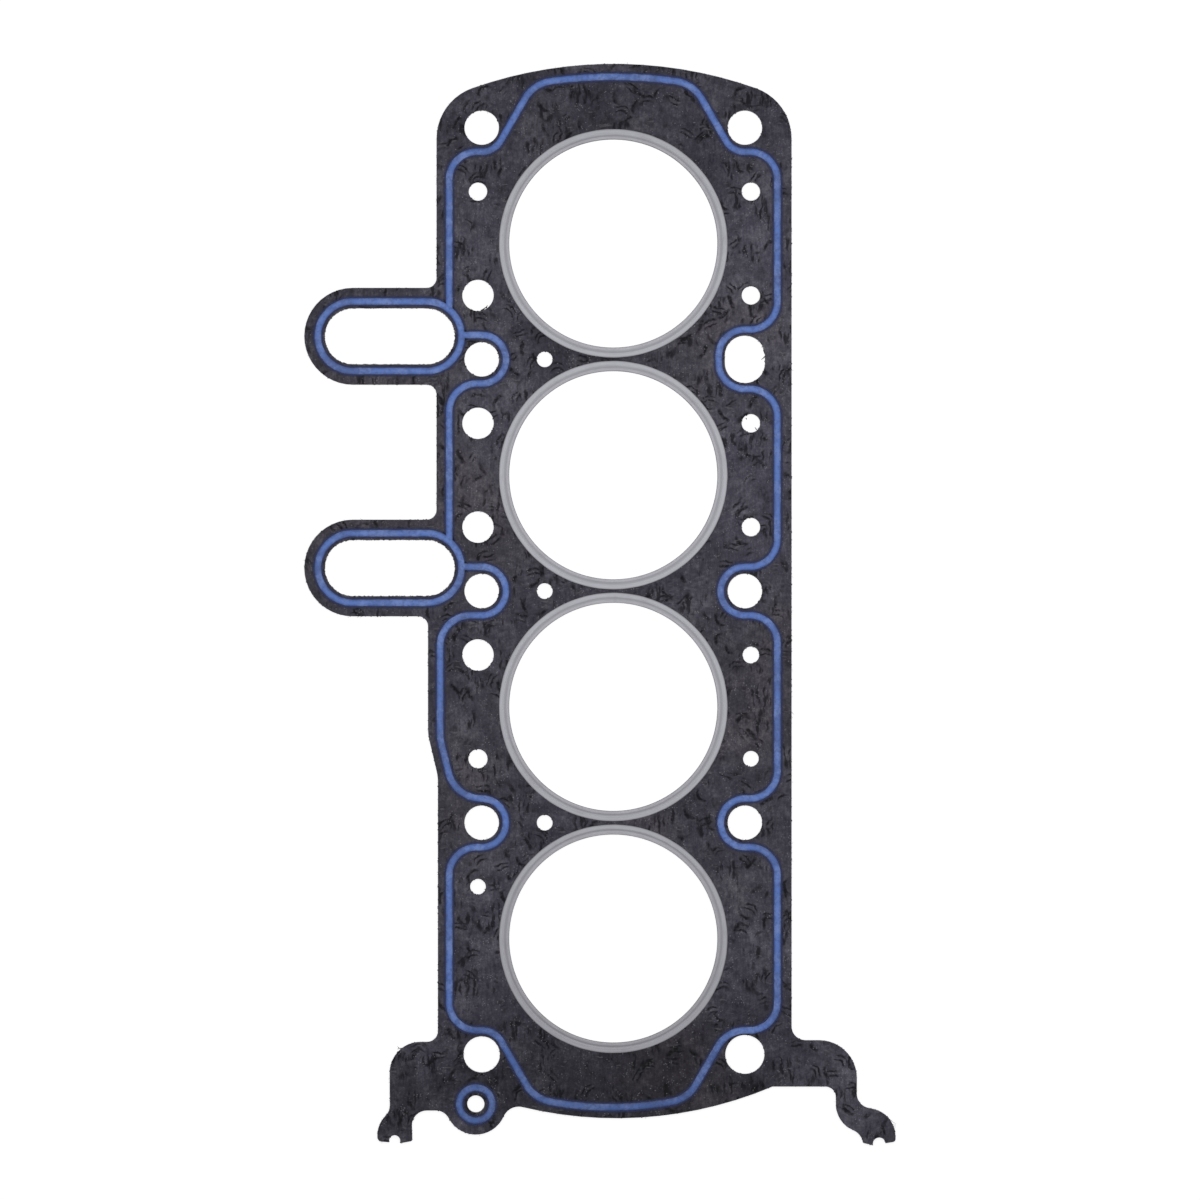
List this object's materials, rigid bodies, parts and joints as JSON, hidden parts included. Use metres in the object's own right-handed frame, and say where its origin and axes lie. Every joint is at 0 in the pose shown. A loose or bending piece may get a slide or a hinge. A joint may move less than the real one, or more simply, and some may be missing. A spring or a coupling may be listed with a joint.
{
  "type": "cylinder head gasket",
  "caption": "Flat in-line engine head gasket: dark fibre sheet with steel fire rings, blue printed sealing beads, slotted ears and hooked feet.",
  "frame": {"origin": "centre of the head-bolt pattern, at mid thickness of the sheet", "axes": "+Y along the row of cylinders, away from the feet; -X towards the side with the slotted ears; +Z out of the front face"},
  "size_m": [0.1913, 0.35, 0.0018],
  "materials": {
    "facing": "matte fibre facing with a steel core",
    "steel": "satin, pressed and folded",
    "print": "satin printed elastomer"
  },
  "bodies": {
    "root": {"gasket_sheet": "facing", "fire_rings": "steel", "seal_bead": "print", "oil_bead": "print"}
  },
  "joints": []
}
